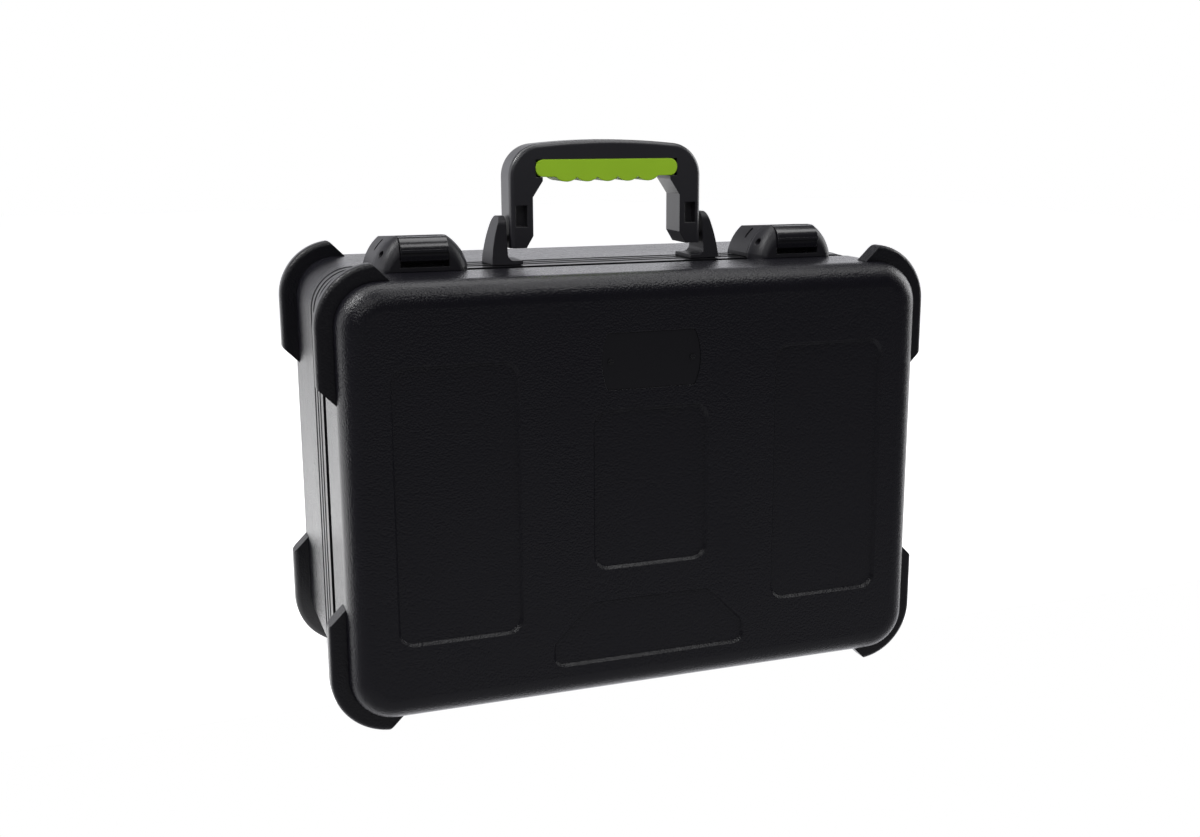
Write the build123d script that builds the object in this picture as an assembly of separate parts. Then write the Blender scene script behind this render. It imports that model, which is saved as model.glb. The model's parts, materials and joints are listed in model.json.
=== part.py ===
from build123d import *

import os
from math import cos, radians, sin, sqrt, tan

# Moulded microphone case, standing upright on its corner guards. Millimetres.
# X runs along the width, Y from the front (badge) face to the back, Z up.
# The origin is under the middle of the case, on the surface that it stands on.

# ---------------------------------------------------------------- driving dimensions
body_width = 450.0
body_height = 316.0
body_depth = 238.0
corner_radius = 32.0
rim_round = 18.0
wall = 3.0

guard_stand = 12.5
guard_thickness = 14.0
guard_reach_x = 40.0
guard_reach_z = 84.5
guard_edge = 4.0

lid_shell_depth = 68.0
lid_recess = 4.5
lid_rim_width = 17.5
rim_gap = 0.5
strip_width = 38.0
strip_inset = 0.5
rim_thickness = 4.0
lap_length = 14.0
rib_height = 0.5
rib_width = 3.0
rib_places = (13.0, 25.0)

tongue_inset = 4.3
tongue_width = 1.4
tongue_length = 2.5
groove_inset = 3.5
groove_width = 3.4
groove_depth = 4.5
rim_lip = 8.5
seal_side_gap = 0.2
seal_tongue_gap = 0.3

panel_depth = 2.5
panel_slope = 40.0
panel_corner = 12.0
side_panel_width = 92.0
side_panel_height = 202.0
side_panel_x = 145.6
side_panel_drop = 158.0
centre_panel_width = 91.0
centre_panel_height = 121.0
centre_panel_drop = 157.7
foot_panel_top_width = 94.0
foot_panel_width = 154.0
foot_panel_top_drop = 241.8
foot_panel_shoulder_drop = 271.5
foot_panel_bottom_drop = 290.3
foot_panel_corner = 8.5

badge_width = 77.0
badge_end_width = 68.0
badge_height = 41.4
badge_drop = 62.4
badge_thickness = 2.0
badge_pocket = 2.5
badge_corner = 2.5
badge_screw_x = 32.0
badge_screw_radius = 1.2
badge_screw_head_radius = 2.1
badge_screw_head_height = 0.9
badge_screw_length = 5.0

screw_radius = 2.0
screw_head_radius = 4.0
screw_head_height = 2.0
thread_gap = 0.05
screw_bite = 8.0
guard_screw_drop = 58.0

handle_width = 156.0
handle_height = 92.5
handle_corner_height = 86.7
handle_corner_round = 25.0
handle_depth = 28.0
handle_bottom = 12.0
leg_width = 18.0
leg_edge = 4.0
leg_chamfer_x = 6.0
leg_chamfer_z = 9.0
opening_shoulder_height = 50.0
opening_shoulder_x = 8.0
opening_top_height = 62.0
handle_pivot_height = 19.0
leg_pocket_width = 9.0
leg_pocket_height = 16.0
leg_pocket_depth = 8.0
leg_pocket_z = 36.0

grip_length = 115.0
grip_top = 78.0
grip_floor = 65.0
grip_low = 61.2
grip_lobes = 5
grip_lobe_pitch = 16.5
grip_lobe_radius = 12.0
grip_core_depth = 18.0
grip_core_floor = 70.0
grip_proud = 0.3
grip_gap = 0.1
grip_end_round = 6.2
grip_lobe_overlap = 1.2

handle_pin_radius = 3.0
handle_pin_cover = 7.0
pin_gap = 0.05
bracket_side_gap = 2.5
bracket_foot_width = 24.0
bracket_height = 36.0
bracket_top_width = 4.5
bracket_foot_height = 2.8
bracket_front_gap = 6.0
bracket_depth = strip_width - bracket_front_gap
bracket_top_depth = 20.0
bracket_draft = 2.0
bracket_side_waist = 0.45
bracket_front_waist = 0.3
bracket_foot_blend = 5.0
bracket_top_round = 8.0
bracket_screw_offset = 5.5
bracket_screw_gap = 2.5
bracket_screw_share = 0.4375
bracket_screw_spread = bracket_screw_share * bracket_depth
handle_set_back = bracket_front_gap + bracket_depth / 2

latch_x = 150.0
latch_width = 70.0
latch_height = 24.8
latch_back_height = 22.0
latch_top_width = 39.0
latch_shoulder = (30.8, 13.2)
latch_straight = 3.0
latch_frame_depth = 19.0
latch_strip_gap = 1.0
latch_body_depth = strip_width - latch_strip_gap
latch_nose = (
    (0.0, 0.74, 0.52), (1.0, 0.80, 0.70), (3.0, 0.86, 0.84),
    (6.0, 0.91, 0.94), (12.0, 0.97, 1.0), (19.0, 1.0, 1.0),
)
latch_edge = 1.5
latch_seat_gap = 0.2
lever_width = 35.0
lever_side_gap = 0.5
lever_radius = 12.3
lever_sweep_gap = 0.9
lever_shell = 2.5
lever_hub_radius = 4.5
lever_pivot_height = 12.5
lever_pivot_from_parting = 9.0
lever_front_angle = 204.0
lever_back_angle = 60.0
lever_pin_radius = 1.75
lever_pin_half_length = 24.0
lever_pin_mouth_radius = 2.6
lever_end_angle = 12.0
lever_bay_drop = 9.2
lever_lip_angle = 173.0
lever_lip_span = 9.0
lever_lip_height = 0.5
lever_lip_recess = 1.0
hood_reach = 2.2
hood_side_gap = 1.0
latch_screw_x = 25.5
latch_frame_screw_bite = 10.0
latch_body_screw_bite = 9.0
latch_body_screw_set_back = 20.0

shoulder_slot_x = 27.0
shoulder_slot_height = 17.6
shoulder_slot_set_back = 13.0
shoulder_slot_tilt = 46.0
shoulder_slot_length = 10.5
shoulder_slot_width = 3.8
shoulder_slot_depth = 0.9

hinge_x = 130.0
hinge_length = 90.0
hinge_knuckles = 5
knuckle_radius = 4.0
knuckle_gap = 0.4
hinge_pin_radius = 1.8
leaf_thickness = 2.0
leaf_sweep_gap = 0.5
base_leaf_strip_gap = 5.0
base_leaf_width = strip_width - base_leaf_strip_gap
hinge_rivet_radius = 2.0
hinge_rivet_head_radius = 3.6
hinge_rivet_head_height = 1.4
hinge_rivet_pitch = 26.0

foam_inset = 9.0
foam_gap = 0.3
foam_face_from_strip = 9.0
foam_back_gap = 1.0
foam_pad_thickness = 12.0
lid_foam_thickness = 22.0
lid_foam_front_gap = 2.0
drop_columns = 5
drop_rows = 2
drop_pitch_x = 80.0
drop_pitch_z = 76.0
drop_size = 54.0
drop_corner = 14.0
drop_top_margin = 49.0
bin_width = 374.0
bin_height = 95.0
bin_corner = 16.0
bin_bottom_margin = 24.0

# ---------------------------------------------------------------- places worked out
mid_z = guard_stand + body_height / 2
top_z = guard_stand + body_height
lid_front = -body_depth / 2
back_face = body_depth / 2
lid_edge = lid_front + lid_shell_depth
lid_rim_end = lid_edge + lid_rim_width
parting = lid_rim_end + rim_gap
strip_end = parting + strip_width
hinge_y = parting - rim_gap / 2
hinge_z = guard_stand + strip_inset - rib_height - knuckle_radius
handle_y = parting + handle_set_back
handle_pivot_z = top_z + handle_pivot_height
lever_y = parting - lever_pivot_from_parting
lever_z = top_z + lever_pivot_height
strip_top = top_z - strip_inset + rib_height
guard_front = lid_front + rim_round
guard_back = back_face - rim_round - guard_thickness
foam_face = strip_end - foam_face_from_strip
foam_pad_front = back_face - wall - panel_depth - foam_back_gap - foam_pad_thickness
sides = (("left", -1), ("right", 1))
ends = (("top", 1), ("bottom", -1))

os.makedirs("parts", exist_ok=True)
nodes = {}


# ---------------------------------------------------------------- small helpers
def y_slab(outline, y_low, y_high, x=0.0, z=mid_z):
    """An outline drawn in X and Z, swept from y_low to y_high."""
    plane = Plane(origin=(x, y_high, z), x_dir=(1, 0, 0), z_dir=(0, -1, 0))
    return extrude(plane * outline, amount=y_high - y_low)


def x_slab(outline, x_low, x_high, y=0.0, z=0.0):
    """An outline drawn in Y and Z, swept from x_low to x_high."""
    plane = Plane(origin=(x_low, y, z), x_dir=(0, 1, 0), z_dir=(1, 0, 0))
    return extrude(plane * outline, amount=x_high - x_low)


def z_slab(outline, z_low, z_high, x=0.0, y=0.0):
    """An outline drawn in X and Y, swept from z_low to z_high."""
    return extrude(Plane(origin=(x, y, z_low)) * outline, amount=z_high - z_low)


def box(x_low, x_high, y_low, y_high, z_low, z_high):
    middle = ((x_low + x_high) / 2, (y_low + y_high) / 2, (z_low + z_high) / 2)
    return Pos(*middle) * Box(x_high - x_low, y_high - y_low, z_high - z_low)


def rod(radius, start, direction, length):
    """A round rod that starts at a point and runs along a direction."""
    return extrude(Plane(origin=start, z_dir=direction) * Circle(radius), amount=length)


def polygon(*points):
    return make_face(Polyline(*points, close=True))


def body_outline(inset):
    return RectangleRounded(body_width - 2 * inset, body_height - 2 * inset, corner_radius - inset)


def body_block(inset, y_low, y_high):
    return y_slab(body_outline(inset), y_low, y_high)


def body_ring(outer_inset, inner_inset, y_low, y_high):
    """A closed frame that follows the outline of the body."""
    return body_block(outer_inset, y_low, y_high) - body_block(inner_inset, y_low, y_high)


def screw(place, direction, grip):
    """A pan-head screw: place is the underside of its head, grip the length of its shank."""
    head = rod(screw_head_radius, place, (-direction[0], -direction[1], -direction[2]), screw_head_height)
    return head + rod(screw_radius, place, direction, grip)


def screw_hole(place, direction, grip):
    return rod(screw_radius + thread_gap, place, direction, grip + thread_gap)


# ---------------------------------------------------------------- pressed panels
def side_panel():
    return RectangleRounded(side_panel_width, side_panel_height, panel_corner)


def centre_panel():
    return RectangleRounded(centre_panel_width, centre_panel_height, panel_corner)


def foot_panel():
    """The low panel with sloping shoulders, drawn about the middle of the body."""
    half_top = foot_panel_top_width / 2
    half = foot_panel_width / 2
    top = body_height / 2 - foot_panel_top_drop
    shoulder = body_height / 2 - foot_panel_shoulder_drop
    bottom = body_height / 2 - foot_panel_bottom_drop
    outline = polygon(
        (-half_top, top), (half_top, top), (half, shoulder),
        (half, bottom), (-half, bottom), (-half, shoulder),
    )
    return fillet(outline.vertices(), foot_panel_corner)


def panel_places():
    rows = [(side_panel(), side * side_panel_x, side_panel_drop) for _, side in sides]
    rows.append((centre_panel(), 0.0, centre_panel_drop))
    return rows


def panel_cut(outline, face_y, inward, x, z):
    """A sunk panel with sloping walls; inward is +1 from the front face, -1 from the back."""
    floor = offset(outline, -panel_depth * tan(radians(panel_slope)))
    origin = (x, face_y + inward * panel_depth, z)
    plane = Plane(origin=origin, x_dir=(inward, 0, 0), z_dir=(0, -inward, 0))
    return extrude(plane * floor, amount=panel_depth, taper=-panel_slope)


def panel_pad(outline, face_y, inward, x, z):
    """The step on the inside that keeps the wall's thickness behind a sunk panel."""
    grown = offset(outline, wall / 2)
    near = face_y + inward * wall / 2
    far = face_y + inward * (wall + panel_depth)
    return y_slab(grown, min(near, far), max(near, far), x=x, z=z)


def badge_outline(shrink=0.0):
    half_end = badge_end_width / 2 - shrink
    half = badge_width / 2 - shrink
    rise = badge_height / 2 - shrink
    right = ThreePointArc((half_end, rise), (half, 0), (half_end, -rise))
    left = ThreePointArc((-half_end, -rise), (-half, 0), (-half_end, rise))
    top = Line((-half_end, rise), (half_end, rise))
    bottom = Line((half_end, -rise), (-half_end, -rise))
    return fillet(make_face([right, bottom, left, top]).vertices(), badge_corner)


# ---------------------------------------------------------------- shells
def open_tub(face_y, edge_y):
    """A moulded tub with a rounded face at face_y and its open edge at edge_y."""
    inward = 1 if edge_y > face_y else -1
    low, high = sorted((face_y, edge_y))
    outer = body_block(0, low, high)
    outer = fillet(outer.faces().sort_by(Axis.Y)[0 if inward > 0 else -1].edges(), rim_round)
    inner_low, inner_high = sorted((face_y + inward * wall, edge_y))
    inner = body_block(wall, inner_low, inner_high)
    inner = fillet(inner.faces().sort_by(Axis.Y)[0 if inward > 0 else -1].edges(), rim_round - wall)
    tub = outer - inner
    for outline, x, drop in panel_places():
        tub = tub + panel_pad(outline, face_y, inward, x, top_z - drop)
    for outline, x, drop in panel_places():
        tub = tub - panel_cut(outline, face_y, inward, x, top_z - drop)
    return tub


def lid_shell():
    shell = open_tub(lid_front, lid_edge)
    shell = shell + panel_pad(foot_panel(), lid_front, 1, 0, mid_z)
    shell = shell - panel_cut(foot_panel(), lid_front, 1, 0, mid_z)
    badge_z = top_z - badge_drop
    pad = y_slab(badge_outline(-wall), lid_front + wall / 2, lid_front + wall + badge_pocket, z=badge_z)
    shell = shell + pad
    shell = shell - y_slab(badge_outline(), lid_front, lid_front + badge_pocket, z=badge_z)
    for _, side in sides:
        start = (side * badge_screw_x, lid_front, badge_z)
        shell = shell - rod(badge_screw_radius + thread_gap, start, (0, 1, 0), lid_shell_depth / 4)
    for place, direction in guard_screw_places(guard_front):
        shell = shell - screw_hole(place, direction, screw_bite + wall)
    return shell


def base_shell():
    shell = open_tub(back_face, strip_end)
    for place, direction in guard_screw_places(guard_back):
        shell = shell - screw_hole(place, direction, screw_bite + wall)
    return shell


# ---------------------------------------------------------------- corner guards
def guard_profile(side, end):
    """The wing that wraps one corner, as seen from the front, about the body's middle."""
    ring = body_outline(-guard_stand) - body_outline(0)
    half_width = body_width / 2
    half_height = body_height / 2
    arm_x = half_width - guard_reach_x
    arm_z = half_height - guard_reach_z
    reach = 3 * guard_stand
    window = polygon(
        (side * arm_x, end * half_height),
        (side * (arm_x + reach), end * (half_height + reach)),
        (side * (half_width + reach), end * (half_height + reach)),
        (side * (half_width + reach), end * (arm_z + reach)),
        (side * half_width, end * arm_z),
        (side * arm_x, end * arm_z),
    )
    return ring & window


def corner_guard(side, end, y_low):
    y_high = y_low + guard_thickness
    guard = y_slab(guard_profile(side, end), y_low, y_high)
    inside = body_block(-guard_stand / 4, y_low - 1, y_high + 1)
    rounded = []
    for edge in guard.edges():
        if not any(inside.is_inside(edge @ place) for place in (0, 0.5, 1)):
            rounded.append(edge)
    guard = fillet(rounded, guard_edge)
    for place, direction in guard_screw_places(y_low):
        guard = guard - screw_hole(place, direction, screw_bite + wall)
    return guard


def guard_screw_places(y_low):
    """Two screws for each guard of one shell: one through the side, one through the corner."""
    y = y_low + guard_thickness / 2
    places = []
    for _, side in sides:
        for _, end in ends:
            x = side * (body_width / 2 - wall)
            z = mid_z + end * (body_height / 2 - guard_screw_drop)
            places.append(((x, y, z), (side, 0, 0)))
            slant = cos(radians(45))
            reach = sqrt((corner_radius - wall) ** 2 - screw_head_radius ** 2)
            x = side * (body_width / 2 - corner_radius + reach * slant)
            z = mid_z + end * (body_height / 2 - corner_radius + reach * slant)
            places.append(((x, y, z), (side * slant, 0, end * slant)))
    return places


def guard_screws(y_low):
    shank = screw_bite + wall
    return Compound([screw(place, direction, shank) for place, direction in guard_screw_places(y_low)])


# ---------------------------------------------------------------- rim frames and seal
def lid_valance():
    frame = body_ring(wall, rim_lip - thread_gap, lid_edge - lap_length, lid_edge)
    frame = frame + body_ring(lid_recess, rim_lip, lid_edge, lid_rim_end)
    frame = frame + body_ring(
        tongue_inset, tongue_inset + tongue_width, lid_rim_end, lid_rim_end + tongue_length)
    for _, side in sides:
        for x in latch_screw_xs(side):
            start, grip = latch_frame_screw(x)
            frame = frame - screw_hole(start, (0, 0, 1), grip)
        for x in rivet_xs(side):
            hole = rod(hinge_rivet_radius, (x, lid_rivet_y(), 0), (0, 0, 1), mid_z)
            frame = frame - hole
    return frame


def base_valance():
    body = body_ring(strip_inset, rim_lip, parting, parting + groove_depth + rim_thickness)
    body = body + body_ring(strip_inset, strip_inset + rim_thickness, parting, strip_end)
    body = body + body_ring(wall, strip_inset + rim_thickness, strip_end, strip_end + lap_length)
    for place in rib_places:
        start = parting + place
        rib = body_ring(strip_inset - rib_height, strip_inset + rib_height, start, start + rib_width)
        body = body + rib
    body = body - body_ring(groove_inset, groove_inset + groove_width, parting, parting + groove_depth)
    for _, side in sides:
        for x in latch_screw_xs(side):
            start, grip = latch_body_screw(x)
            body = body - screw_hole(start, (0, 0, 1), grip)
        for start, grip in bracket_screw_places(side):
            body = body - screw_hole(start, (0, 0, 1), grip)
        for x in rivet_xs(side):
            hole = rod(hinge_rivet_radius, (x, base_rivet_y(), 0), (0, 0, 1), mid_z)
            body = body - hole
    return body


def rim_seal():
    near = lid_rim_end + tongue_length + seal_tongue_gap
    return body_ring(
        groove_inset + seal_side_gap, groove_inset + groove_width - seal_side_gap,
        near, parting + groove_depth - seal_side_gap)


# ---------------------------------------------------------------- badge plate
def badge_plate():
    face = lid_front + badge_pocket - badge_thickness
    plate = y_slab(badge_outline(grip_gap), face, lid_front + badge_pocket, z=top_z - badge_drop)
    for _, side in sides:
        start = (side * badge_screw_x, lid_front, top_z - badge_drop)
        plate = plate - rod(badge_screw_radius + thread_gap, start, (0, 1, 0), body_depth / 4)
    return plate


def badge_screws():
    screws = []
    face = lid_front + badge_pocket - badge_thickness
    for _, side in sides:
        start = (side * badge_screw_x, face, top_z - badge_drop)
        head = rod(badge_screw_head_radius, start, (0, -1, 0), badge_screw_head_height)
        slot = box(
            start[0] - badge_screw_head_radius, start[0] + badge_screw_head_radius,
            face - badge_screw_head_height, face - badge_screw_head_height / 2,
            start[2] - badge_screw_radius / 3, start[2] + badge_screw_radius / 3)
        screws.append(head + rod(badge_screw_radius, start, (0, 1, 0), badge_screw_length) - slot)
    return Compound(screws)


# ---------------------------------------------------------------- handle
def handle_outline():
    half = handle_width / 2
    crown = ThreePointArc((-half, handle_corner_height), (0, handle_height), (half, handle_corner_height))
    legs = Polyline(
        (half, handle_corner_height), (half, handle_bottom),
        (-half, handle_bottom), (-half, handle_corner_height))
    outline = make_face([crown, legs])
    return fillet(outline.vertices().sort_by(Axis.Y)[-2:], handle_corner_round)


def handle_opening():
    half = handle_width / 2 - leg_width
    upper = half - opening_shoulder_x
    low = handle_bottom - 1
    leg_top = handle_bottom + leg_chamfer_z
    return polygon(
        (-half - leg_chamfer_x, low), (-half, leg_top), (-half, opening_shoulder_height),
        (-upper, opening_top_height), (-upper, grip_core_floor), (upper, grip_core_floor),
        (upper, opening_top_height), (half, opening_shoulder_height), (half, leg_top),
        (half + leg_chamfer_x, low),
    )


def handle_front():
    return handle_y - handle_depth / 2


def handle_back():
    return handle_y + handle_depth / 2


def grip_seat():
    """The space that the grip fills round the under half of the crossbar."""
    blank = box(
        -grip_length / 2 - grip_gap, grip_length / 2 + grip_gap,
        handle_front() - 1, handle_back() + 1, top_z + grip_floor - grip_gap, top_z + grip_top + grip_gap)
    core = box(
        -grip_length, grip_length, handle_y - grip_core_depth / 2, handle_y + grip_core_depth / 2,
        top_z, top_z + handle_height)
    return blank - core


def handle_frame():
    frame = y_slab(handle_outline(), handle_front(), handle_back(), z=top_z)
    outer = frame.faces().sort_by(Axis.Y)[0].edges() + frame.faces().sort_by(Axis.Y)[-1].edges()
    outer = [edge for edge in outer if edge.center().Z > top_z + handle_bottom + 1]
    frame = fillet(outer, leg_edge)
    opening = y_slab(handle_opening(), handle_front() - 1, handle_back() + 1, z=top_z)
    frame = frame - opening - grip_seat()
    for _, side in sides:
        x = side * (handle_width / 2 - leg_width / 2)
        frame = frame - box(
            x - leg_pocket_width / 2, x + leg_pocket_width / 2,
            handle_front() - 1, handle_front() + leg_pocket_depth,
            top_z + leg_pocket_z - leg_pocket_height / 2, top_z + leg_pocket_z + leg_pocket_height / 2)
    for _, side in sides:
        start = (side * (handle_pin_start() - pin_gap), handle_y, handle_pivot_z)
        frame = frame - rod(handle_pin_radius + pin_gap, start, (side, 0, 0), leg_width)
    return frame


def handle_grip():
    """A soft grip: a channel round the under half of the crossbar, scalloped for the fingers."""
    half = grip_length / 2
    profile = Pos(0, (grip_top + grip_floor) / 2) * Rectangle(grip_length, grip_top - grip_floor)
    for index in range(grip_lobes):
        x = (index - (grip_lobes - 1) / 2) * grip_lobe_pitch
        lobe = Pos(x, grip_low + grip_lobe_radius) * Circle(grip_lobe_radius)
        window = Rectangle(grip_lobe_pitch * grip_lobe_overlap, grip_lobe_radius)
        window = Pos(x, grip_low + grip_lobe_radius / 4) * window
        profile = profile + (lobe & window)
    corners = [vertex for vertex in profile.vertices() if abs(vertex.X) > half - 1]
    profile = fillet(corners, grip_end_round)
    grip = y_slab(profile, handle_front() - grip_proud, handle_back() + grip_proud, z=top_z)
    half_core = grip_core_depth / 2 + grip_gap
    core = box(
        -grip_length, grip_length, handle_y - half_core, handle_y + half_core, top_z, top_z + handle_height)
    opening = y_slab(handle_opening(), handle_front() - 1, handle_back() + 1, z=top_z)
    return grip - (core - opening)


def bracket_inner_x():
    return handle_width / 2 + bracket_side_gap


def handle_bracket(side):
    """One fin that carries the handle's pivot, with a thin foot that reaches under the leg."""
    inner = bracket_inner_x()
    outer = handle_width / 2 - leg_width / 2 + bracket_foot_width
    foot_inner = outer - bracket_foot_width
    low = strip_top - top_z
    side_waist = bracket_height * bracket_side_waist
    flank = ThreePointArc(
        (side * outer, low), (side * (outer - bracket_draft), side_waist),
        (side * (inner + bracket_top_width), bracket_height))
    rest = Polyline(
        (side * (inner + bracket_top_width), bracket_height), (side * inner, bracket_height),
        (side * inner, bracket_foot_height), (side * foot_inner, bracket_foot_height),
        (side * foot_inner, low), (side * outer, low))
    front_view = make_face([flank, rest])
    inner_corner = front_view.vertices().sort_by_distance((side * inner, bracket_foot_height))[0]
    front_view = fillet(inner_corner, bracket_foot_blend)
    half_foot = bracket_depth / 2
    half_top = bracket_top_depth / 2
    half_waist = half_foot - bracket_draft
    front_waist = bracket_height * bracket_front_waist
    side_view = polygon(
        (-half_foot, low), (half_foot, low), (half_waist, front_waist),
        (half_top, bracket_height), (-half_top, bracket_height), (-half_waist, front_waist),
    )
    side_view = fillet(side_view.vertices().sort_by(Axis.Y)[-2:], bracket_top_round)
    fin = y_slab(front_view, handle_y - half_foot, handle_y + half_foot, z=top_z)
    fin = fin & x_slab(side_view, -handle_width, handle_width, y=handle_y, z=top_z)
    start = (side * (inner - 1), handle_y, handle_pivot_z)
    fin = fin - rod(handle_pin_radius + pin_gap, start, (side, 0, 0), handle_pin_reach() - inner + 1)
    for start, grip in bracket_screw_places(side):
        fin = fin - screw_hole(start, (0, 0, 1), grip)
    return fin


def handle_pin_reach():
    """How far from the middle each pivot pin ends, inside the thick of its fin."""
    return bracket_inner_x() + bracket_foot_width / 4


def handle_pin_start():
    """How far from the middle each pin starts, so that the leg covers its inner end."""
    return handle_width / 2 - leg_width + handle_pin_cover


def handle_pin(side):
    inner_end = (side * handle_pin_start(), handle_y, handle_pivot_z)
    return rod(handle_pin_radius, inner_end, (side, 0, 0), handle_pin_reach() - handle_pin_start())


def bracket_screw_places(side):
    x = side * (bracket_inner_x() + bracket_screw_offset)
    low = top_z - strip_inset - rim_thickness
    first = parting + groove_depth + rim_thickness + screw_head_radius + bracket_screw_gap
    return [((x, y, low), rim_thickness + screw_bite) for y in (first, first + bracket_screw_spread)]


def bracket_screws():
    screws = []
    for _, side in sides:
        for start, grip in bracket_screw_places(side):
            screws.append(screw(start, (0, 0, 1), grip))
    return Compound(screws)


# ---------------------------------------------------------------- latches
def latch_dome(wide=1.0, tall=1.0):
    """The latch as seen from the front, about its own middle and the top of the body."""
    half = wide * latch_width / 2
    half_top = wide * latch_top_width / 2
    low = -lid_recess
    high = tall * latch_height
    straight = tall * latch_straight
    shoulder_x = wide * latch_shoulder[0]
    shoulder_z = tall * latch_shoulder[1]
    left = ThreePointArc((-half, straight), (-shoulder_x, shoulder_z), (-half_top, high))
    right = ThreePointArc((half_top, high), (shoulder_x, shoulder_z), (half, straight))
    top = Line((-half_top, high), (half_top, high))
    foot = Polyline((half, straight), (half, low), (-half, low), (-half, straight))
    return make_face([left, top, right, foot])


def latch_frame_front():
    return lid_rim_end - latch_frame_depth


def lever_bay(x):
    """The room that the lever turns in."""
    half = lever_width / 2 + lever_side_gap
    drum = rod(lever_radius + lever_sweep_gap, (x - half, lever_y, lever_z), (1, 0, 0), 2 * half)
    above = box(x - half, x + half, lever_y - body_depth, parting, lever_z, lever_z + body_height)
    front = box(
        x - half, x + half, lever_y - body_depth, lever_y,
        lever_z - lever_bay_drop, lever_z + body_height)
    return drum + above + front


def lever_pin_hole(x):
    start = (x - latch_width, lever_y, lever_z)
    return rod(lever_pin_radius + pin_gap, start, (1, 0, 0), 2 * latch_width)


def lever_pin_mouths(x):
    """The wider mouths of the pin hole, outside the ends of the pin."""
    mouths = []
    for _, side in sides:
        start = (x + side * lever_pin_half_length, lever_y, lever_z)
        mouths.append(rod(lever_pin_mouth_radius, start, (side, 0, 0), latch_width))
    return mouths


def latch_frame(x):
    """The lid's half of a latch: two ears that carry the lever's pin, over a low sill."""
    front = latch_frame_front()
    sections = []
    for distance, wide, tall in latch_nose:
        y = front + distance * latch_frame_depth / latch_nose[-1][0]
        plane = Plane(origin=(x, y, top_z), x_dir=(1, 0, 0), z_dir=(0, -1, 0))
        sections.append(plane * latch_dome(wide, tall))
    block = loft(sections)
    over_shell = box(
        x - latch_width, x + latch_width, front - 1, lid_edge + latch_seat_gap,
        top_z - body_height / 2, top_z + latch_seat_gap)
    frame = block - over_shell - lever_bay(x) - lever_pin_hole(x)
    for mouth in lever_pin_mouths(x):
        frame = frame - mouth
    for screw_x in (x - latch_screw_x, x + latch_screw_x):
        start, grip = latch_frame_screw(screw_x)
        frame = frame - screw_hole(start, (0, 0, 1), grip)
    return frame


def hood_bay(x):
    """The room behind the lever: two flat walls that just clear the round that it turns in."""
    half = lever_width / 2 + lever_side_gap
    reach = lever_radius + lever_sweep_gap
    slope = radians(lever_back_angle)
    corner = reach * (1 - cos(slope)) / sin(slope)
    high = 2 * latch_height
    front = (reach - high * sin(slope)) / cos(slope)
    outline = polygon((reach, -lever_bay_drop), (reach, corner), (front, high), (front, -lever_bay_drop))
    return x_slab(outline, x - half, x + half, y=lever_y, z=lever_z)


def latch_body(x):
    """The base's half of a latch: a domed box with a hood over the back of the lever."""
    back = parting + latch_body_depth
    block = y_slab(latch_dome(), parting, back, x=x, z=top_z)
    above = polygon(
        (parting, latch_height), (back + 1, latch_back_height),
        (back + 1, 2 * latch_height), (parting, 2 * latch_height))
    block = block - x_slab(above, x - latch_width, x + latch_width, z=top_z)
    rear_edges = block.faces().sort_by(Axis.Y)[-1].edges()
    block = fillet([edge for edge in rear_edges if edge.center().Z > top_z], latch_edge)
    block = block - box(
        x - latch_width, x + latch_width, parting - 1, back + 1, top_z - body_height / 2, strip_top)
    half = lever_width / 2 - hood_side_gap
    hood = box(x - half, x + half, parting - hood_reach, parting + 1, lever_z, top_z + latch_height)
    body = (block + hood) - hood_bay(x) - shoulder_slot(x)
    for screw_x in (x - latch_screw_x, x + latch_screw_x):
        start, grip = latch_body_screw(screw_x)
        body = body - screw_hole(start, (0, 0, 1), grip)
    return body


def latch_lever(x):
    """A drum-shaped lever: a curved skin with a lip for the finger, on two end webs and a hub."""
    def sector(outer, front, back):
        reach = 2 * outer
        start = (reach * cos(radians(back)), reach * sin(radians(back)))
        halfway = radians((front + back) / 2)
        middle = (reach * cos(halfway), reach * sin(halfway))
        end = (reach * cos(radians(front)), reach * sin(radians(front)))
        wedge = polygon((0, 0), start, middle, end)
        return Circle(outer) & wedge

    half = lever_width / 2
    skin = sector(lever_radius, lever_lip_angle, lever_back_angle)
    lip = sector(lever_radius + lever_lip_height, lever_lip_angle, lever_lip_angle - lever_lip_span)
    under = sector(lever_radius - lever_lip_recess, lever_front_angle, lever_lip_angle)
    solid = skin + lip + under + Circle(lever_hub_radius)
    lever = x_slab(solid, x - half, x + half, y=lever_y, z=lever_z)
    hollow_front = lever_front_angle - lever_end_angle
    hollow_back = lever_back_angle + lever_end_angle
    hollow = sector(lever_radius - lever_shell, hollow_front, hollow_back)
    hollow = hollow - Circle(lever_hub_radius)
    web = lever_shell
    lever = lever - x_slab(hollow, x - half + web, x + half - web, y=lever_y, z=lever_z)
    return lever - lever_pin_hole(x)


def lever_pin(x):
    start = (x - lever_pin_half_length, lever_y, lever_z)
    return rod(lever_pin_radius, start, (1, 0, 0), 2 * lever_pin_half_length)


def latch_screw_xs(side):
    return (side * latch_x - latch_screw_x, side * latch_x + latch_screw_x)


def latch_frame_screw(x):
    y = (lid_edge + lid_rim_end) / 2
    return (x, y, top_z - rim_lip), latch_frame_screw_bite


def latch_body_screw(x):
    y = parting + latch_body_screw_set_back
    return (x, y, top_z - strip_inset - rim_thickness), rim_thickness + latch_body_screw_bite


def latch_screws(place_of):
    screws = []
    for _, side in sides:
        for x in latch_screw_xs(side):
            start, grip = place_of(x)
            screws.append(screw(start, (0, 0, 1), grip))
    return Compound(screws)


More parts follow.
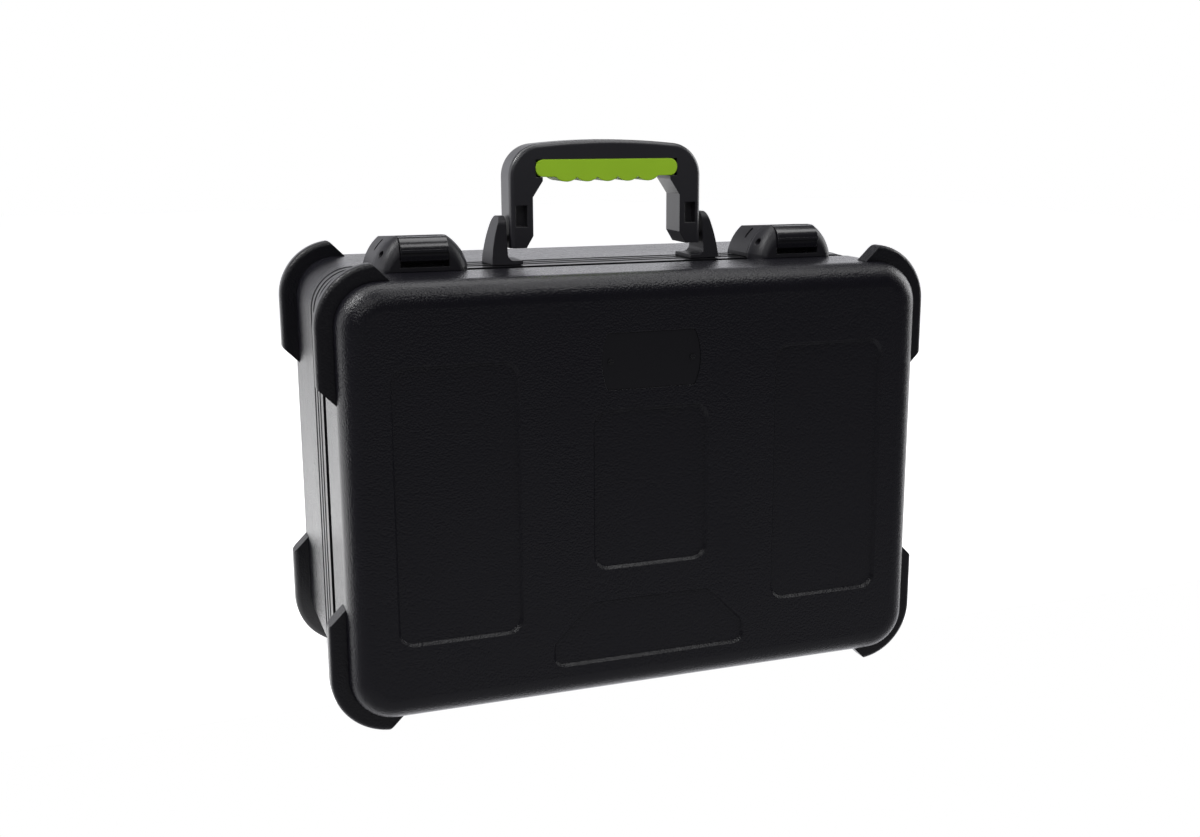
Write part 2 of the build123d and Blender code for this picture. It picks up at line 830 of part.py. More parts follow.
def shoulder_slot(x):
    """The shallow rounded slot in the left shoulder of the base's half of a latch."""
    tilt = radians(shoulder_slot_tilt)
    outward = (-sin(tilt), 0, cos(tilt))
    middle = (x - shoulder_slot_x, parting + shoulder_slot_set_back, top_z + shoulder_slot_height)
    plane = Plane(origin=middle, x_dir=(cos(tilt), 0, sin(tilt)), z_dir=outward)
    outline = plane * SlotOverall(shoulder_slot_length, shoulder_slot_width)
    return extrude(outline, amount=shoulder_slot_width) + extrude(outline, amount=-shoulder_slot_depth)


# ---------------------------------------------------------------- hinges
def rivet_xs(side):
    return [side * hinge_x + step * hinge_rivet_pitch for step in (-1, 0, 1)]


def base_rivet_y():
    return parting + base_leaf_width - hinge_rivet_head_radius - 2 * leaf_thickness


def lid_rivet_y():
    return (lid_edge + lid_rim_end - knuckle_radius) / 2


def knuckle_spans(side, first):
    """The spans along X of every second knuckle, starting with the first or the second."""
    start = side * hinge_x - hinge_length / 2
    pitch = hinge_length / hinge_knuckles
    spans = []
    for number in range(first, hinge_knuckles, 2):
        low = start + number * pitch + knuckle_gap / 2
        spans.append((low, low + pitch - knuckle_gap))
    return spans


def hinge_bore(side):
    start = (side * hinge_x - hinge_length, hinge_y, hinge_z)
    return rod(hinge_pin_radius + pin_gap, start, (1, 0, 0), 2 * hinge_length)


def hinge_leaf_base(side):
    low_x = side * hinge_x - hinge_length / 2
    clear = knuckle_radius + leaf_sweep_gap
    top = hinge_z + knuckle_radius
    leaf = box(
        low_x, low_x + hinge_length, hinge_y + clear, parting + base_leaf_width, top - leaf_thickness, top)
    for low, high in knuckle_spans(side, 0):
        barrel = rod(knuckle_radius, (low, hinge_y, hinge_z), (1, 0, 0), high - low)
        tab = box(low, high, hinge_y, hinge_y + clear + 1, top - leaf_thickness, top)
        leaf = leaf + barrel + tab
    for x in rivet_xs(side):
        leaf = leaf - rod(hinge_rivet_radius, (x, base_rivet_y(), 0), (0, 0, 1), mid_z)
    return leaf - hinge_bore(side)


def hinge_leaf_lid(side):
    low_x = side * hinge_x - hinge_length / 2
    top = guard_stand + lid_recess
    web_y = hinge_y - leaf_thickness
    leaf = box(low_x, low_x + hinge_length, lid_edge + latch_seat_gap, web_y, top - leaf_thickness, top)
    for low, high in knuckle_spans(side, 1):
        barrel = rod(knuckle_radius, (low, hinge_y, hinge_z), (1, 0, 0), high - low)
        tab = box(low, high, web_y - leaf_thickness, web_y, hinge_z, top)
        leaf = leaf + barrel + tab
    for x in rivet_xs(side):
        leaf = leaf - rod(hinge_rivet_radius, (x, lid_rivet_y(), 0), (0, 0, 1), mid_z)
    return leaf - hinge_bore(side)


def hinge_pin(side):
    start = side * hinge_x - hinge_length / 2
    return rod(hinge_pin_radius, (start, hinge_y, hinge_z), (1, 0, 0), hinge_length)


def hinge_rivets(y, leaf_low, inside):
    """Six rivets of one leaf line, each headed under its leaf and inside its rim frame."""
    rivets = []
    for _, side in sides:
        for x in rivet_xs(side):
            shank = rod(hinge_rivet_radius, (x, y, leaf_low), (0, 0, 1), inside - leaf_low)
            lower = rod(hinge_rivet_head_radius, (x, y, leaf_low), (0, 0, -1), hinge_rivet_head_height)
            upper = rod(hinge_rivet_head_radius, (x, y, inside), (0, 0, 1), hinge_rivet_head_height / 2)
            rivets.append(shank + lower + upper)
    return Compound(rivets)


# ---------------------------------------------------------------- foam
def drop_places():
    places = []
    for row in range(drop_rows):
        for column in range(drop_columns):
            x = (column - (drop_columns - 1) / 2) * drop_pitch_x
            places.append((x, top_z - drop_top_margin - foam_inset - row * drop_pitch_z))
    return places


def drop_foam():
    """The block that holds ten microphones upright in its drops, over a bin for their clips."""
    foam = body_block(foam_inset, foam_face, foam_pad_front - foam_gap)
    for x, z in drop_places():
        hole = RectangleRounded(drop_size, drop_size, drop_corner)
        foam = foam - y_slab(hole, foam_face - 1, foam_pad_front, x=x, z=z)
    bin_z = guard_stand + foam_inset + bin_bottom_margin + bin_height / 2
    hole = RectangleRounded(bin_width, bin_height, bin_corner)
    return foam - y_slab(hole, foam_face - 1, foam_pad_front, z=bin_z)


def base_foam_pad():
    return body_block(foam_inset, foam_pad_front, foam_pad_front + foam_pad_thickness)


def lid_foam():
    front = lid_front + wall + panel_depth + lid_foam_front_gap
    return body_block(foam_inset, front, front + lid_foam_thickness)


# ---------------------------------------------------------------- assembly
nodes["base_shell"] = base_shell()
nodes["base_valance"] = base_valance()
nodes["rim_seal"] = rim_seal()
nodes["lid_shell"] = lid_shell()
nodes["lid_valance"] = lid_valance()
for end_name, end in ends:
    for side_name, side in sides:
        nodes[f"lid_guard_{end_name}_{side_name}"] = corner_guard(side, end, guard_front)
        nodes[f"base_guard_{end_name}_{side_name}"] = corner_guard(side, end, guard_back)
nodes["lid_guard_screws"] = guard_screws(guard_front)
nodes["base_guard_screws"] = guard_screws(guard_back)
nodes["badge_plate"] = badge_plate()
nodes["badge_screws"] = badge_screws()
nodes["handle_frame"] = handle_frame()
nodes["handle_grip"] = handle_grip()
for side_name, side in sides:
    nodes[f"handle_bracket_{side_name}"] = handle_bracket(side)
    nodes[f"handle_pin_{side_name}"] = handle_pin(side)
    nodes[f"latch_frame_{side_name}"] = latch_frame(side * latch_x)
    nodes[f"latch_body_{side_name}"] = latch_body(side * latch_x)
    nodes[f"latch_lever_{side_name}"] = latch_lever(side * latch_x)
    nodes[f"lever_pin_{side_name}"] = lever_pin(side * latch_x)
    nodes[f"hinge_leaf_base_{side_name}"] = hinge_leaf_base(side)
    nodes[f"hinge_leaf_lid_{side_name}"] = hinge_leaf_lid(side)
    nodes[f"hinge_pin_{side_name}"] = hinge_pin(side)
nodes["bracket_screws"] = bracket_screws()
nodes["latch_frame_screws"] = latch_screws(latch_frame_screw)
nodes["latch_body_screws"] = latch_screws(latch_body_screw)
base_leaf_low = hinge_z + knuckle_radius - leaf_thickness
base_rim_inside = guard_stand + strip_inset + rim_thickness
nodes["hinge_rivets_base"] = hinge_rivets(base_rivet_y(), base_leaf_low, base_rim_inside)
lid_leaf_low = guard_stand + lid_recess - leaf_thickness
nodes["hinge_rivets_lid"] = hinge_rivets(lid_rivet_y(), lid_leaf_low, guard_stand + rim_lip)
nodes["drop_foam"] = drop_foam()
nodes["base_foam_pad"] = base_foam_pad()
nodes["lid_foam"] = lid_foam()

for name, shape in nodes.items():
    export_step(shape, f"parts/{name}.step")
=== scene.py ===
# %% [markdown]
# # A moulded microphone case
# The case comes in as a fixed frame of separate pieces, in metres, with +Z up and the badge side
# facing -Y. Nothing in that frame is moved here. This lesson gives each piece its finish, and it
# models the foam inside, because foam has a softness that the plain solids don't show.

# %% Load the frame
import json
import math
import bmesh
import bpy
from mathutils import Matrix, Vector


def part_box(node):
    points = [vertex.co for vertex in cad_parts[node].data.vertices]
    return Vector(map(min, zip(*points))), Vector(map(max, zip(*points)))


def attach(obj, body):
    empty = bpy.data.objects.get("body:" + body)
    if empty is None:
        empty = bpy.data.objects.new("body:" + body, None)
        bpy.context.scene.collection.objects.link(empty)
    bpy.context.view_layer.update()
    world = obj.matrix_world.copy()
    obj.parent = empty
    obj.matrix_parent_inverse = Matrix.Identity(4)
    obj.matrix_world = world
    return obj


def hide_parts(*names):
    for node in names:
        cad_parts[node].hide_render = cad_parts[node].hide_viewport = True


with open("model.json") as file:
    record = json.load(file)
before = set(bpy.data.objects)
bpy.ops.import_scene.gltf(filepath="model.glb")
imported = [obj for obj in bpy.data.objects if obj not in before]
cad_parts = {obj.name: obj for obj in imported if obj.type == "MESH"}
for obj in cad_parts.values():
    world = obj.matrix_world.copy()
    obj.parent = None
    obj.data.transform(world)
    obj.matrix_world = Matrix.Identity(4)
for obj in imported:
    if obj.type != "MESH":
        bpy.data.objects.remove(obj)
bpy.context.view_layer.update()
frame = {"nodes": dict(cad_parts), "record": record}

# %% [markdown]
# The photograph was taken from the front left and a little above, with a moderately long lens.
# A camera could be placed by eye, but the edges of the panels, guards and handle fix it well, so
# its place, turn and lens were solved from them. The small shift is the crop of the picture.

# %% Camera
EYE = (-0.3638, -1.0373, 0.4364)
LOOK_DOWN = 12.35
LOOK_RIGHT = 20.58
LENS = 41.44
SENSOR_WIDTH = 36.0
CROP_SHIFT = (-0.0230, 0.0023)

camera_data = bpy.data.cameras.new("camera")
camera_data.lens = LENS
camera_data.sensor_width = SENSOR_WIDTH
camera_data.shift_x, camera_data.shift_y = CROP_SHIFT
camera_data.dof.use_dof = False
camera = bpy.data.objects.new("camera", camera_data)
camera.location = EYE
camera.rotation_euler = (math.radians(90 - LOOK_DOWN), 0, math.radians(-LOOK_RIGHT))
bpy.context.scene.collection.objects.link(camera)
bpy.context.scene.camera = camera
bpy.context.scene.view_settings.view_transform = "Standard"
print("camera", [round(v, 3) for v in EYE], "lens", LENS)

# %% [markdown]
# A finish is a small network of nodes. Written one node at a time it is hard to read, so a socket
# is wrapped in a class whose operators add Math nodes, and one method makes every other node.
# `1 - mask` then means what it says.


# %% Shader helpers
class Wire:
    """One output of a node. Arithmetic on it adds Math nodes."""

    def __init__(self, board, socket):
        self.board = board
        self.socket = socket

    def math(self, operation, first, second):
        return self.board.node("ShaderNodeMath", {"operation": operation}, {0: first, 1: second})

    def __add__(self, other):
        return self.math("ADD", self, other)

    def __radd__(self, other):
        return self.math("ADD", other, self)

    def __sub__(self, other):
        return self.math("SUBTRACT", self, other)

    def __rsub__(self, other):
        return self.math("SUBTRACT", other, self)

    def __mul__(self, other):
        return self.math("MULTIPLY", self, other)

    def __rmul__(self, other):
        return self.math("MULTIPLY", other, self)


class Board:
    """A tree of nodes that other nodes are added to."""

    def __init__(self, tree):
        self.tree = tree

    def node(self, kind, settings=None, values=None, output=0):
        made = self.tree.nodes.new(kind)
        for key, value in (settings or {}).items():
            setattr(made, key, value)
        for key, value in (values or {}).items():
            self.put(made.inputs[key], value)
        return Wire(self, made.outputs[output])

    def put(self, socket, value):
        if isinstance(value, Wire):
            self.tree.links.new(value.socket, socket)
        else:
            socket.default_value = value

    def seen(self):
        """1 for a ray that shows the background: to the eye, in a reflection or through glass."""
        eye = self.node("ShaderNodeLightPath", output="Is Camera Ray")
        mirror = self.node("ShaderNodeLightPath", output="Is Glossy Ray")
        glass = self.node("ShaderNodeLightPath", output="Is Transmission Ray")
        return eye.math("MAXIMUM", eye, mirror.math("MAXIMUM", mirror, glass))

    def ramp(self, value, start, end, low, high):
        """Go smoothly from low to high while the value goes from start to end."""
        return self.node("ShaderNodeMapRange", {"interpolation_type": "SMOOTHSTEP"}, {
            "Value": value, "From Min": start, "From Max": end, "To Min": low, "To Max": high})


class Finish(Board):
    """A material with one Principled surface."""

    def __init__(self, name):
        self.material = bpy.data.materials.new(name)
        self.material.use_nodes = True
        super().__init__(self.material.node_tree)
        self.surface = self.tree.nodes["Principled BSDF"]

    def set(self, **values):
        for key, value in values.items():
            self.put(self.surface.inputs[key.replace("_", " ")], value)

    def place(self):
        return self.node("ShaderNodeTexCoord", output="Object")

    def noise(self, scale, detail=2.0, roughness=0.5):
        return self.node("ShaderNodeTexNoise", {}, {
            "Vector": self.place(), "Scale": scale, "Detail": detail, "Roughness": roughness})

    def cells(self, scale):
        return self.node("ShaderNodeTexVoronoi", {"feature": "F1"}, {
            "Vector": self.place(), "Scale": scale})

    def blend(self, amount, first, second):
        return self.node("ShaderNodeMix", {"data_type": "RGBA"}, {
            0: amount, 6: first, 7: second}, output=2)

    def bump(self, height, distance, strength=1.0, edge=0.0):
        values = {"Height": height, "Distance": distance, "Strength": strength}
        if edge:
            values["Normal"] = self.node("ShaderNodeBevel", {"samples": 4}, {"Radius": edge})
        return self.node("ShaderNodeBump", {}, values)


finishes = {}
print("helpers ready")

# %% [markdown]
# The shells are injection moulded in black plastic from a textured tool. The tool leaves a fine
# pebble, about a millimetre across, which only shows where a lamp is reflected. Cells give rounded
# pebbles, and a little noise keeps them from looking printed. The edges of a moulding are never
# quite sharp, so the bump starts from a slightly rounded edge. Each row below gives a slot its two
# blended colours, roughness, grain in millimetres and depth of the grain in metres, and where they
# differ from the usual, the radius of the rounded edge and the strength of the gloss.


# %% Moulded plastics
def moulded(slot, color, pale, rough, grain, depth, edge=0.0007, gloss=0.5):
    finish = Finish(slot)
    pebble = finish.cells(1000.0 / grain)
    drift = finish.noise(14.0, 4.0)
    fine = finish.noise(3000.0 / grain, 2.0)
    finish.set(
        Base_Color=finish.blend(drift, color + (1.0,), pale + (1.0,)),
        Roughness=rough + (drift - 0.5) * 0.10 + (fine - 0.5) * 0.08,
        Normal=finish.bump(fine * 0.25 - pebble * 0.75, depth, edge=edge))
    finish.surface.inputs["Specular IOR Level"].default_value = gloss
    finishes[slot] = finish.material


moulded(
    "shell_black", (0.0056, 0.0052, 0.0084), (0.0072, 0.0068, 0.0104),
    0.27, 1.35, 0.00028)
moulded(
    "guard_black", (0.0040, 0.0038, 0.0062), (0.0055, 0.0052, 0.0080),
    0.33, 1.35, 0.00026, 0.0006)
moulded(
    "rim_black", (0.0070, 0.0068, 0.0085), (0.0095, 0.0092, 0.0110),
    0.30, 2.0, 0.00002, 0.0)
# recess_black is the shell's black made darker: painted shade in the recesses.
moulded(
    "recess_black", (0.0030, 0.0030, 0.0040), (0.0040, 0.0040, 0.0050),
    0.75, 2.0, 0.00004, 0.0, 0.15)
moulded(
    "latch_black", (0.0120, 0.0115, 0.0155), (0.0165, 0.0160, 0.0205),
    0.44, 0.9, 0.00006, 0.0008)
moulded(
    "lever_black", (0.0080, 0.0078, 0.0105), (0.0105, 0.0102, 0.0135),
    0.22, 1.5, 0.00002, 0.0003, 1.0)
moulded(
    "handle_black", (0.0150, 0.0145, 0.0190), (0.0205, 0.0200, 0.0250),
    0.34, 1.0, 0.00005, 0.0010, 1.0)
moulded(
    "badge_black", (0.0070, 0.0067, 0.0090), (0.0085, 0.0082, 0.0106),
    0.30, 2.0, 0.00002)
print("moulded plastics", sorted(finishes))

# %% [markdown]
# The grip is a soft green rubber. Where hands hold it, it is a touch smoother and darker, and its
# surface has a very fine matt bloom. The seal in the rim is plain black rubber.


# %% Rubbers
def rubber(slot, color, worn, rough, depth):
    finish = Finish(slot)
    bloom = finish.noise(1400.0, 3.0)
    handled = finish.noise(38.0, 3.0)
    finish.set(
        Base_Color=finish.blend(handled, color + (1.0,), worn + (1.0,)),
        Roughness=rough + (bloom - 0.5) * 0.12 - (handled - 0.5) * 0.10,
        Normal=finish.bump(bloom, depth, edge=0.0012))
    finish.surface.inputs["Specular IOR Level"].default_value = 0.4
    finishes[slot] = finish.material


rubber("grip_green", (0.460, 0.790, 0.024), (0.396, 0.706, 0.019), 0.50, 0.00004)
rubber("seal_rubber", (0.012, 0.012, 0.013), (0.016, 0.016, 0.017), 0.66, 0.00004)
print("rubbers added, now", len(finishes))

# %% [markdown]
# The small metal parts are zinc-plated pins and screws, black screws in the badge, and hinge
# leaves with a black powder coat. Plating shows as faint cloudy patches in its gloss, and powder
# coat as a soft orange peel.


# %% Metals
DULLED = 0.82


def metal(slot, color, rough, metallic, patch, peel_size, peel_depth):
    finish = Finish(slot)
    cloud = finish.noise(patch, 4.0, 0.6)
    peel = finish.noise(peel_size, 1.0)
    darker = tuple(DULLED * part for part in color)
    finish.set(
        Base_Color=finish.blend(cloud, color + (1.0,), darker + (1.0,)),
        Roughness=rough + (cloud - 0.5) * 0.16,
        Normal=finish.bump(peel, peel_depth, edge=0.0004))
    finish.surface.inputs["Metallic"].default_value = metallic
    finishes[slot] = finish.material


metal("pin_steel", (0.50, 0.50, 0.51), 0.34, 1.0, 220.0, 2500.0, 0.00001)
metal("screw_black", (0.030, 0.030, 0.033), 0.38, 0.6, 300.0, 2500.0, 0.00001)
metal("hinge_black", (0.014, 0.014, 0.016), 0.42, 0.0, 120.0, 1100.0, 0.00003)
print("metals added, now", len(finishes))

# %% [markdown]
# Foam is a sponge of tiny open cells, so it has no gloss at all and its surface is pitted. The
# pits are cells of under a millimetre, and their insides are painted darker as painted shade.

# %% Foam finish
FOAM_DARK_PIT_SHADE = (0.016, 0.016, 0.018, 1.0)
FOAM_PALE = (0.050, 0.050, 0.054, 1.0)
PIT_DEPTH = 0.0006

foam = Finish("foam_charcoal")
pits = foam.cells(1300.0)
tuft = foam.noise(420.0, 4.0, 0.65)
shade = foam.noise(9.0, 3.0)
# The darker colour goes into the pits as painted shade, mixed with a random change of tone.
foam.set(
    Base_Color=foam.blend(pits * 0.7 + shade * 0.3, FOAM_DARK_PIT_SHADE, FOAM_PALE),
    Roughness=0.93 + (tuft - 0.5) * 0.10,
    Normal=foam.bump(pits * 0.6 + tuft * 0.4, PIT_DEPTH))
foam.surface.inputs["Specular IOR Level"].default_value = 0.2
finishes["foam_charcoal"] = foam.material
print("finishes", len(finishes))

# %% [markdown]
# Every piece of the frame names its finish in the record, so one loop dresses all of them. The
# slot on the object is changed, and the mesh is left alone.

# %% Dress the frame
dressed = 0
for part in frame["record"]["subparts"]:
    piece = frame["nodes"][part["node"]]
    if not piece.material_slots:
        piece.data.materials.append(None)
    for slot in piece.material_slots:
        slot.link = "OBJECT"
        slot.material = finishes[part["material_slot"]]
    dressed += 1
print("dressed", dressed, "pieces")

# %% [markdown]
# Each foam piece starts as a block with rounded corners. A cube whose four long edges are beveled
# makes that in two operators, and the same shape, a little longer, cuts the holes. The lips of
# the cuts and the rims of the sheets are softened with a small bevel.


# %% Rounded block
FOAM_ROUND = 0.023
OUTLINE_STEPS = 12
HOLE_STEPS = 8
SHARPER_THAN = math.radians(50)


def rounded_block(shape, low, high, radius, segments=HOLE_STEPS):
    """Add a block between two corners to a bmesh, with its edges along Y rounded."""
    made = bmesh.ops.create_cube(shape, size=1.0)["verts"]
    size = [b - a for a, b in zip(low, high)]
    middle = [(a + b) / 2 for a, b in zip(low, high)]
    bmesh.ops.scale(shape, verts=made, vec=size)
    bmesh.ops.translate(shape, verts=made, vec=middle)
    edges = {edge for vert in made for edge in vert.link_edges}
    along = [e for e in edges if abs(e.verts[0].co.y - e.verts[1].co.y) > 1e-6]
    bmesh.ops.bevel(
        shape, geom=along, offset=radius, offset_type="OFFSET", segments=segments,
        profile=0.5, affect="EDGES", material=-1)


def as_object(shape, name):
    mesh = bpy.data.meshes.new(name)
    shape.to_mesh(mesh)
    shape.free()
    made = bpy.data.objects.new(name, mesh)
    bpy.context.scene.collection.objects.link(made)
    for face in mesh.polygons:
        face.use_smooth = True
    return made


def soften(piece, width, segments):
    """Bevel the sharp edges of a piece."""
    lips = piece.modifiers.new("lips", "BEVEL")
    lips.width = width
    lips.segments = segments
    lips.limit_method = "ANGLE"
    lips.angle_limit = SHARPER_THAN


def bake(piece):
    """Apply every modifier of a piece to its mesh."""
    bpy.context.view_layer.update()
    solved = piece.evaluated_get(bpy.context.evaluated_depsgraph_get())
    result = bpy.data.meshes.new_from_object(solved)
    piece.modifiers.clear()
    piece.data = result


print("block helpers ready")

# %% [markdown]
# The microphones stand in a thick block of foam: ten rounded drops in two rows, over one wide bin
# for their clips. The holes could be drawn into the outline, but a boolean cut keeps each one a
# real wall. Cut foam has soft lips, so the edges get a small bevel afterwards.

# %% Drop block
DROP_ROWS = 2
DROP_COLUMNS = 5
DROP_PITCH_X = 0.080
DROP_PITCH_Z = 0.076
DROP_SIZE = 0.054
DROP_ROUND = 0.014
FIRST_DROP_BELOW_TOP = 0.049
BIN_SIZE = (0.374, 0.095)
BIN_ROUND = 0.016
BIN_ABOVE_FLOOR = 0.024
CUT_PAST = 0.01
LIP_WIDTH = 0.0018

foam_low, foam_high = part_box("drop_foam")
block = bmesh.new()
rounded_block(block, foam_low, foam_high, FOAM_ROUND, OUTLINE_STEPS)
drop_block = as_object(block, "drop_block_foam")

cuts = bmesh.new()
near = foam_low.y - CUT_PAST
far = foam_high.y + CUT_PAST
half = DROP_SIZE / 2
for row in range(DROP_ROWS):
    for column in range(DROP_COLUMNS):
        x = (column - DROP_COLUMNS // 2) * DROP_PITCH_X
        z = foam_high.z - FIRST_DROP_BELOW_TOP - row * DROP_PITCH_Z
        rounded_block(cuts, (x - half, near, z - half), (x + half, far, z + half), DROP_ROUND)
bin_low = foam_low.z + BIN_ABOVE_FLOOR
rounded_block(
    cuts, (-BIN_SIZE[0] / 2, near, bin_low), (BIN_SIZE[0] / 2, far, bin_low + BIN_SIZE[1]),
    BIN_ROUND)
cutter = as_object(cuts, "cutter")

cut = drop_block.modifiers.new("cut", "BOOLEAN")
cut.object = cutter
cut.operation = "DIFFERENCE"
cut.solver = "EXACT"
soften(drop_block, LIP_WIDTH, 3)
bake(drop_block)
bpy.data.objects.remove(cutter)
print("drop block faces", len(drop_block.data.polygons))

# %% [markdown]
# Behind the drops lies a flat pad that the microphones stand against. It shows at the bottom of
# each hole. Its edges are rounded more than the block's, because it is a thinner, softer sheet.

# %% Back pad
PAD_EDGE = 0.0030

pad_low, pad_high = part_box("base_foam_pad")
sheet = bmesh.new()
rounded_block(sheet, pad_low, pad_high, FOAM_ROUND, OUTLINE_STEPS)
back_pad = as_object(sheet, "back_pad_foam")
soften(back_pad, PAD_EDGE, 4)
bake(back_pad)
print("back pad faces", len(back_pad.data.polygons))

# %% [markdown]
# The lid is lined with convoluted foam, the sheet with rows of soft peaks that presses on what is
# stored. A grid is raised by two crossed waves, its corners are drawn in to the rounded outline,
# and its border is extruded back to make the sheet's thickness.

# %% Convoluted lid foam
PEAK_PITCH = 0.027
PEAK_HEIGHT = 0.013
GRID_CELLS = (150, 104)

lid_low, lid_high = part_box("lid_foam")
half_x = (lid_high.x - lid_low.x) / 2
half_z = (lid_high.z - lid_low.z) / 2
mid_z = (lid_high.z + lid_low.z) / 2
peaks = bmesh.new()
bmesh.ops.create_grid(peaks, x_segments=GRID_CELLS[0], y_segments=GRID_CELLS[1], size=1.0)
bmesh.ops.scale(peaks, verts=peaks.verts, vec=(half_x, half_z, 1.0))
for vert in peaks.verts:
    over_x = abs(vert.co.x) - (half_x - FOAM_ROUND)
    over_z = abs(vert.co.y) - (half_z - FOAM_ROUND)
    if over_x > 0 and over_z > 0:
        pull = max(over_x, over_z) / math.hypot(over_x, over_z)
        vert.co.x = math.copysign(half_x - FOAM_ROUND + over_x * pull, vert.co.x)
        vert.co.y = math.copysign(half_z - FOAM_ROUND + over_z * pull, vert.co.y)
    turns_x = 2 * math.pi * vert.co.x / PEAK_PITCH
    turns_z = 2 * math.pi * vert.co.y / PEAK_PITCH
    wave = math.cos(turns_x) * math.cos(turns_z)
    vert.co.z = -PEAK_HEIGHT * (0.5 - 0.5 * wave)
top_faces = list(peaks.faces)
walls = bmesh.ops.extrude_face_region(peaks, geom=top_faces)
back = [item for item in walls["geom"] if isinstance(item, bmesh.types.BMVert)]
for vert in back:
    vert.co.z = -(lid_high.y - lid_low.y)
turn = Matrix.Rotation(math.radians(-90), 4, "X")
bmesh.ops.transform(peaks, matrix=turn, verts=peaks.verts)
bmesh.ops.translate(peaks, verts=peaks.verts, vec=(0, lid_high.y, mid_z))
bmesh.ops.recalc_face_normals(peaks, faces=peaks.faces)
lid_lining = as_object(peaks, "lid_lining_foam")
print("lid lining faces", len(lid_lining.data.polygons))

# %% Place the foam
for piece, node, body in (
        (drop_block, "drop_foam", "base"),
        (back_pad, "base_foam_pad", "base"),
        (lid_lining, "lid_foam", "lid")):
    piece.data.materials.clear()
    piece.data.materials.append(finishes["foam_charcoal"])
    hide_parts(node)
    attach(piece, body)
    print(piece.name, "stands for", node, "on", body)

# %% [markdown]
# The floor is a plain pale sheet. It ends under the case, like the edge of a table, because the
# lid is hinged at the bottom and swings down past whatever the case stands on. A floor that went
# on would cut through the opened lid. To the eye and in reflections it also glows, which makes it
# as white as the backdrop, so its edge doesn't show.

# %% Floor
FLOOR_EDGE = -0.036
FLOOR_HALF = (4.0, 3.0)
PAPER_GLOW = 0.72
PAPER_WHITE = (0.86, 0.86, 0.86, 1.0)

ground = bmesh.new()
bmesh.ops.create_grid(ground, x_segments=1, y_segments=1, size=1.0)
bmesh.ops.scale(ground, verts=ground.verts, vec=FLOOR_HALF + (1.0,))
bmesh.ops.translate(ground, verts=ground.verts, vec=(0, FLOOR_HALF[1] + FLOOR_EDGE, 0))
floor = as_object(ground, "floor")
paper = Finish("floor_paper")
paper.set(Base_Color=PAPER_WHITE, Roughness=0.9)
floor.data.materials.append(paper.material)
plain = Wire(paper, paper.surface.outputs[0])
glow = paper.node("ShaderNodeEmission", {}, {
    "Color": (1.0, 1.0, 1.0, 1.0), "Strength": PAPER_GLOW})
both = paper.node("ShaderNodeAddShader", {}, {0: plain, 1: glow})
shown = paper.node("ShaderNodeMixShader", {}, {0: paper.seen(), 1: plain, 2: both})
paper.tree.links.new(shown.socket, paper.tree.nodes["Material Output"].inputs["Surface"])
print("floor ends at y", FLOOR_EDGE)

# %% [markdown]
# The light is a white studio: a big soft box above and one at each side, and a dim one in front.
# Black plastic shows its surroundings more than its colour, so the pale top and sides of the case
# are the white backdrop seen at a grazing angle, and the front is dark because the room on the
# camera's side is dark. Two small lamps draw the form. One up on the left shines in the rounded
# corner, and a narrow one overhead lies where the lower walls of the sunk panels reflect it.


# %% Lamps
def soft_box(name, place, aim, size, power):
    lamp_data = bpy.data.lights.new(name, "AREA")
    lamp_data.shape = "RECTANGLE"
    lamp_data.size, lamp_data.size_y = size
    lamp_data.energy = power
    lamp = bpy.data.objects.new(name, lamp_data)
    lamp.location = place
    lamp.rotation_euler = (Vector(aim) - Vector(place)).to_track_quat("-Z", "Y").to_euler()
    bpy.context.scene.collection.objects.link(lamp)


soft_box("box_above", (-0.10, 0.30, 1.60), (0, 0, 0.20), (1.7, 0.9), 8.5)
soft_box("box_left", (-1.60, 0.20, 0.80), (0, 0, 0.20), (1.0, 1.2), 3.5)
soft_box("box_right", (1.60, 0.10, 0.80), (0, 0, 0.20), (0.9, 1.2), 10.0)
soft_box("box_front", (-0.90, -1.60, 1.50), (0, 0, 0.18), (0.9, 0.6), 5.0)
soft_box("box_corner", (-1.15, -0.05, 1.45), (-0.20, -0.10, 0.30), (0.45, 0.45), 10.0)
soft_box("box_edges", (0.45, -0.45, 1.50), (0.10, -0.12, 0.15), (1.2, 0.40), 3.8)

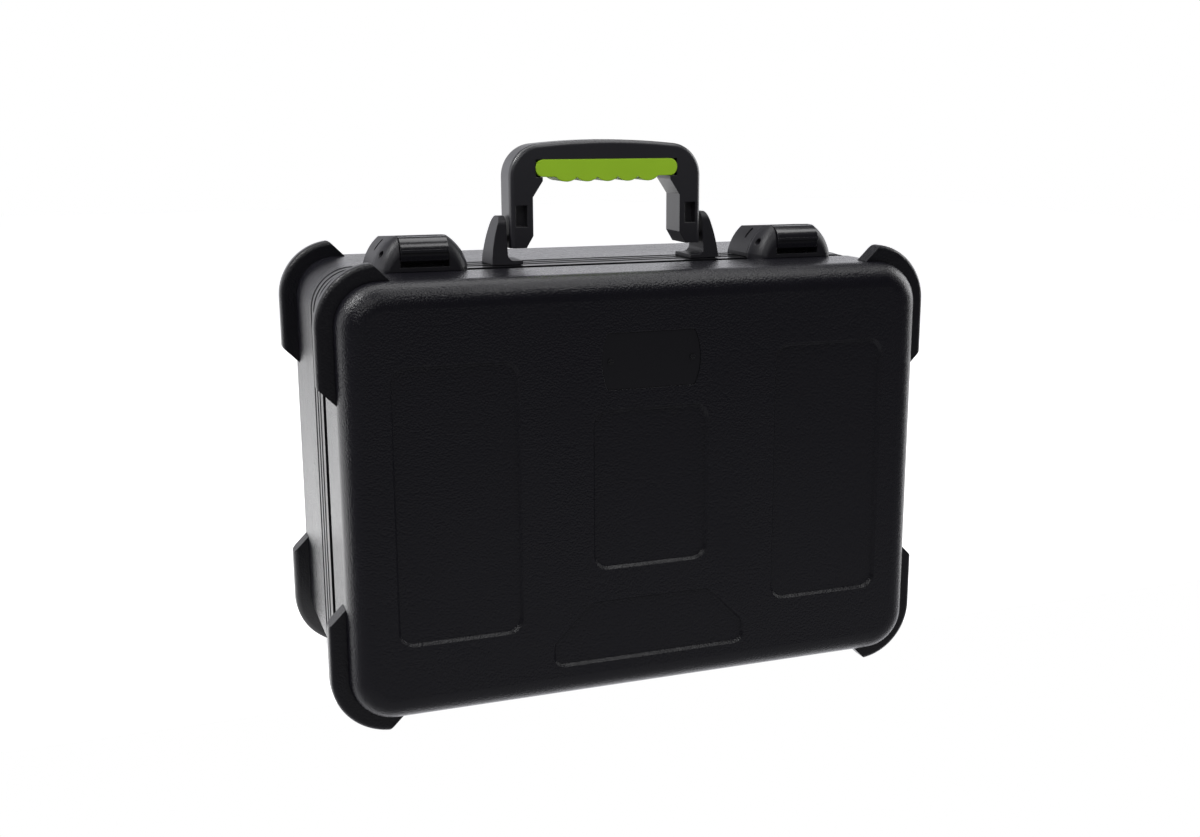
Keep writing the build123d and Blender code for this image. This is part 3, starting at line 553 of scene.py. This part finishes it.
# %% [markdown]
# The backdrop is the world. To the eye it is plain white. In a reflection it is white low down
# behind the case, a little dimmer to the left, and dark overhead and on the side that the badge
# faces. So the flat top and the sides, which are seen at a low angle, shine, and the rounded edges
# stay dark. A little comes from below, where a pale table would lie in front. Everything else gets
# an even, dimmer light.

# %% World
AMBIENT = 0.35
DARK_SIDE = 0.04
BACK_WALL = 1.20
LEFT_OF_WALL = 0.76
CEILING = 0.10
TABLE = 0.26
COOL_WHITE = (0.955, 0.955, 1.0, 1.0)

# Where each change starts and ends, along one axis of the direction that a ray goes in.
FRONT_TO_BACK = (-0.25, 0.60)
LEFT_TO_RIGHT = (-0.25, 0.25)
LOW_TO_OVERHEAD = (0.24, 0.42)
BELOW_TO_LEVEL = (-0.42, -0.08)

world = bpy.data.worlds.new("studio")
world.use_nodes = True
bpy.context.scene.world = world
room = Board(world.node_tree)
toward = room.node("ShaderNodeTexCoord", output="Generated")
across = room.node("ShaderNodeSeparateXYZ", {}, {"Vector": toward}, output="X")
back = room.node("ShaderNodeSeparateXYZ", {}, {"Vector": toward}, output="Y")
up = room.node("ShaderNodeSeparateXYZ", {}, {"Vector": toward}, output="Z")
wall = room.ramp(back, *FRONT_TO_BACK, DARK_SIDE, BACK_WALL)
under = room.ramp(up, *LOW_TO_OVERHEAD, 1.0, CEILING)
table = room.ramp(up, *BELOW_TO_LEVEL, TABLE, 0.0)
evenness = room.ramp(across, *LEFT_TO_RIGHT, LEFT_OF_WALL, 1.0)
backdrop = wall * under * evenness + table
eye = room.node("ShaderNodeLightPath", output="Is Camera Ray")
glass = room.node("ShaderNodeLightPath", output="Is Transmission Ray")
mirror = room.node("ShaderNodeLightPath", output="Is Glossy Ray")
direct = eye.math("MAXIMUM", eye, glass)
level = direct + (1 - direct) * (mirror * backdrop + (1 - mirror) * AMBIENT)
light = world.node_tree.nodes["Background"]
tint = room.node("ShaderNodeMix", {"data_type": "RGBA"}, {
    0: direct, 6: COOL_WHITE, 7: (1.0, 1.0, 1.0, 1.0)}, output=2)
room.put(light.inputs["Color"], tint)
room.put(light.inputs["Strength"], level)
print("world ready")
